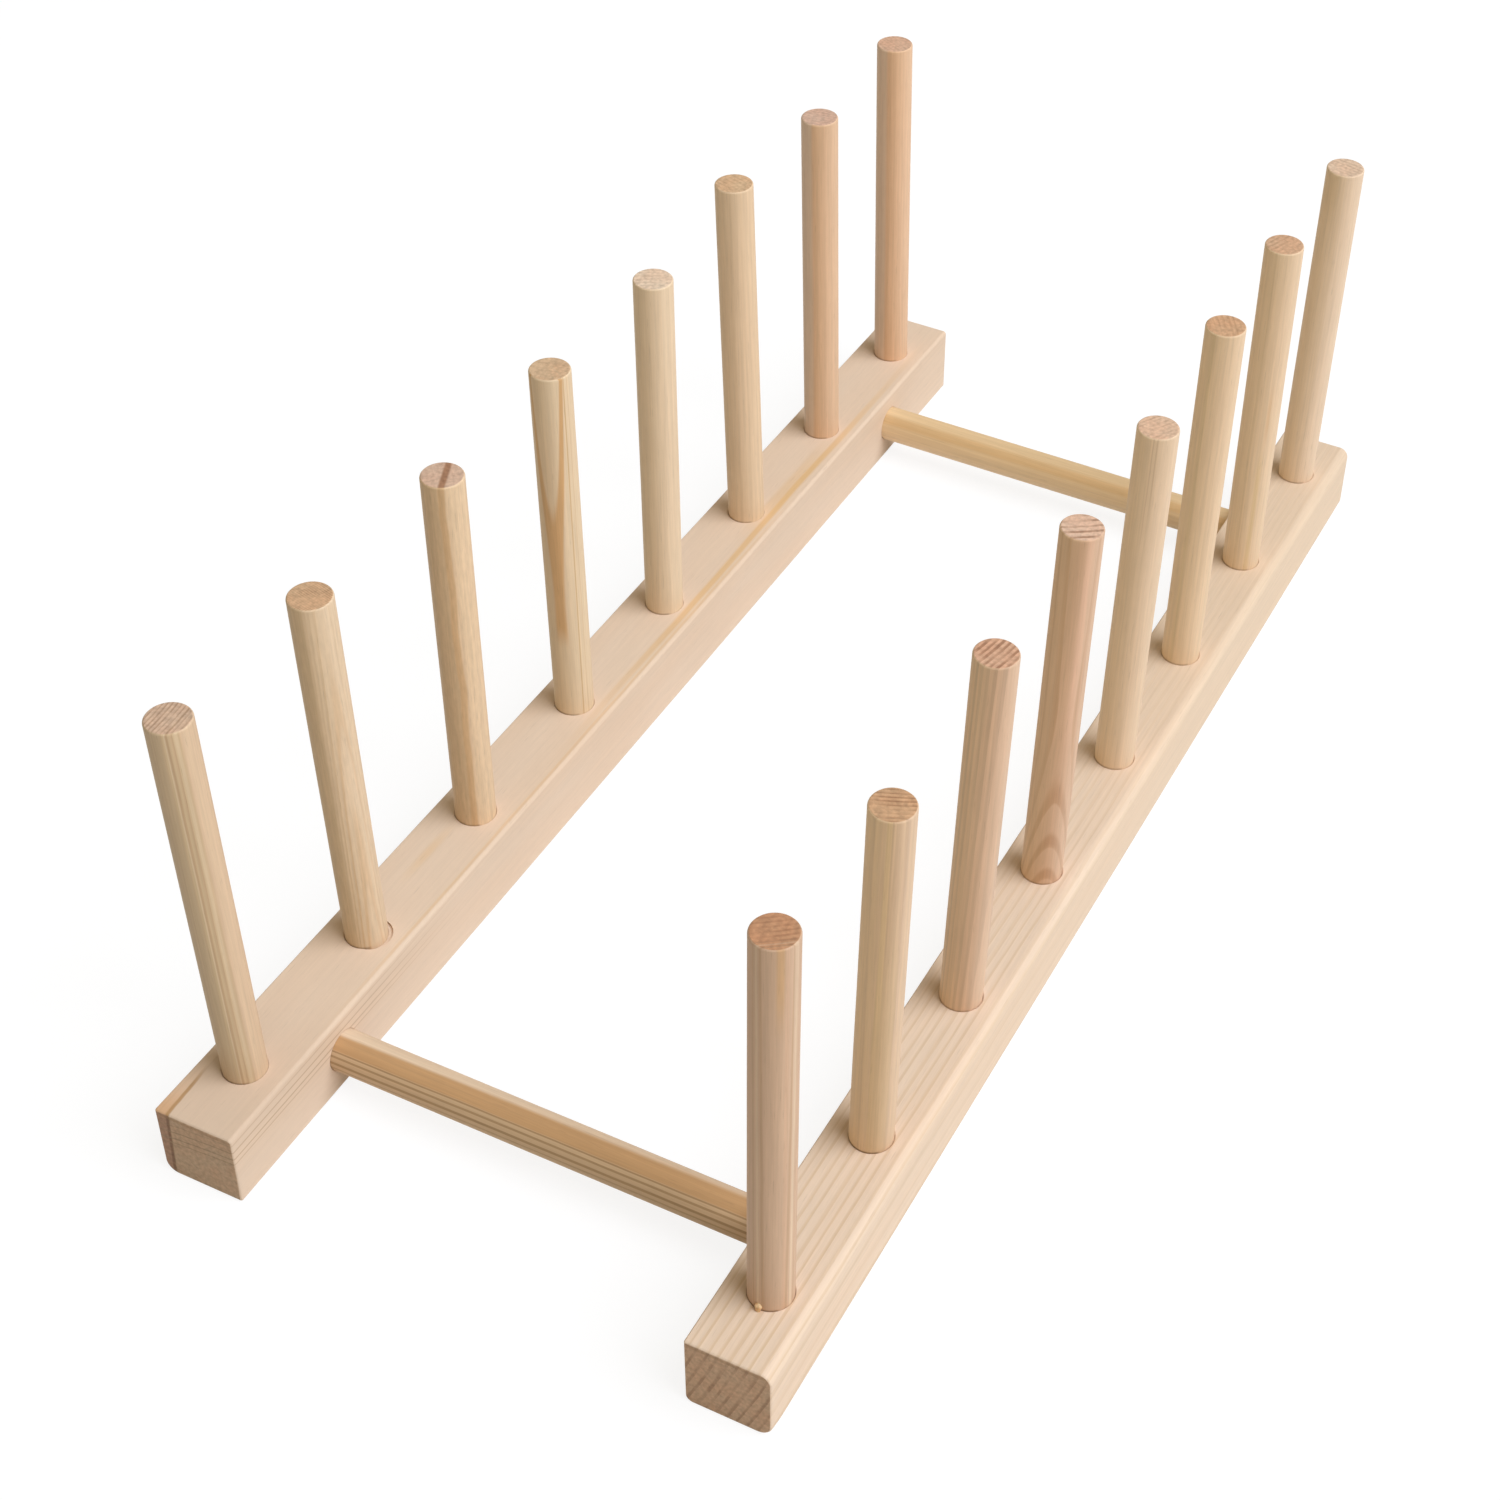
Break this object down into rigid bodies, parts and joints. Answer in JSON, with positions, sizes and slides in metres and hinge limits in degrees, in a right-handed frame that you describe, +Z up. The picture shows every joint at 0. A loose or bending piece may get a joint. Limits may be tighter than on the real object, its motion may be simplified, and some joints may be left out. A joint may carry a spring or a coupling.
{
  "type": "drying rack",
  "caption": "Low wooden drying rack: two square rails tied by round bars, each with a row of upright pegs that hold plates, lids or cutlery trays on edge.",
  "frame": {"origin": "middle of the rack's outline, on the surface that it stands on", "axes": "+Y along the rails from the front to the back, +X to the right across the rack, +Z up along the pegs"},
  "size_m": [0.143, 0.34, 0.1181],
  "materials": {
    "rail_pine": "planed and lightly sanded bare pine, fine straight grain, matt",
    "pale_peg_pine": "turned and sanded bare pine dowel, straight grain, matt",
    "rosy_peg_pine": "turned and sanded bare pine dowel with pinkish heartwood, matt",
    "bar_pine": "turned and sanded bare pine dowel with golden late wood, matt"
  },
  "bodies": {
    "root": {"left_rail": "rail_pine", "right_rail": "rail_pine", "front_bar": "bar_pine", "rear_bar": "bar_pine", "left_peg_1": "pale_peg_pine", "left_peg_2": "pale_peg_pine", "left_peg_3": "pale_peg_pine", "left_peg_4": "pale_peg_pine", "left_peg_5": "pale_peg_pine", "left_peg_6": "pale_peg_pine", "left_peg_7": "rosy_peg_pine", "left_peg_8": "rosy_peg_pine", "right_peg_1": "rosy_peg_pine", "right_peg_2": "pale_peg_pine", "right_peg_3": "rosy_peg_pine", "right_peg_4": "rosy_peg_pine", "right_peg_5": "pale_peg_pine", "right_peg_6": "pale_peg_pine", "right_peg_7": "pale_peg_pine", "right_peg_8": "pale_peg_pine"}
  },
  "joints": []
}
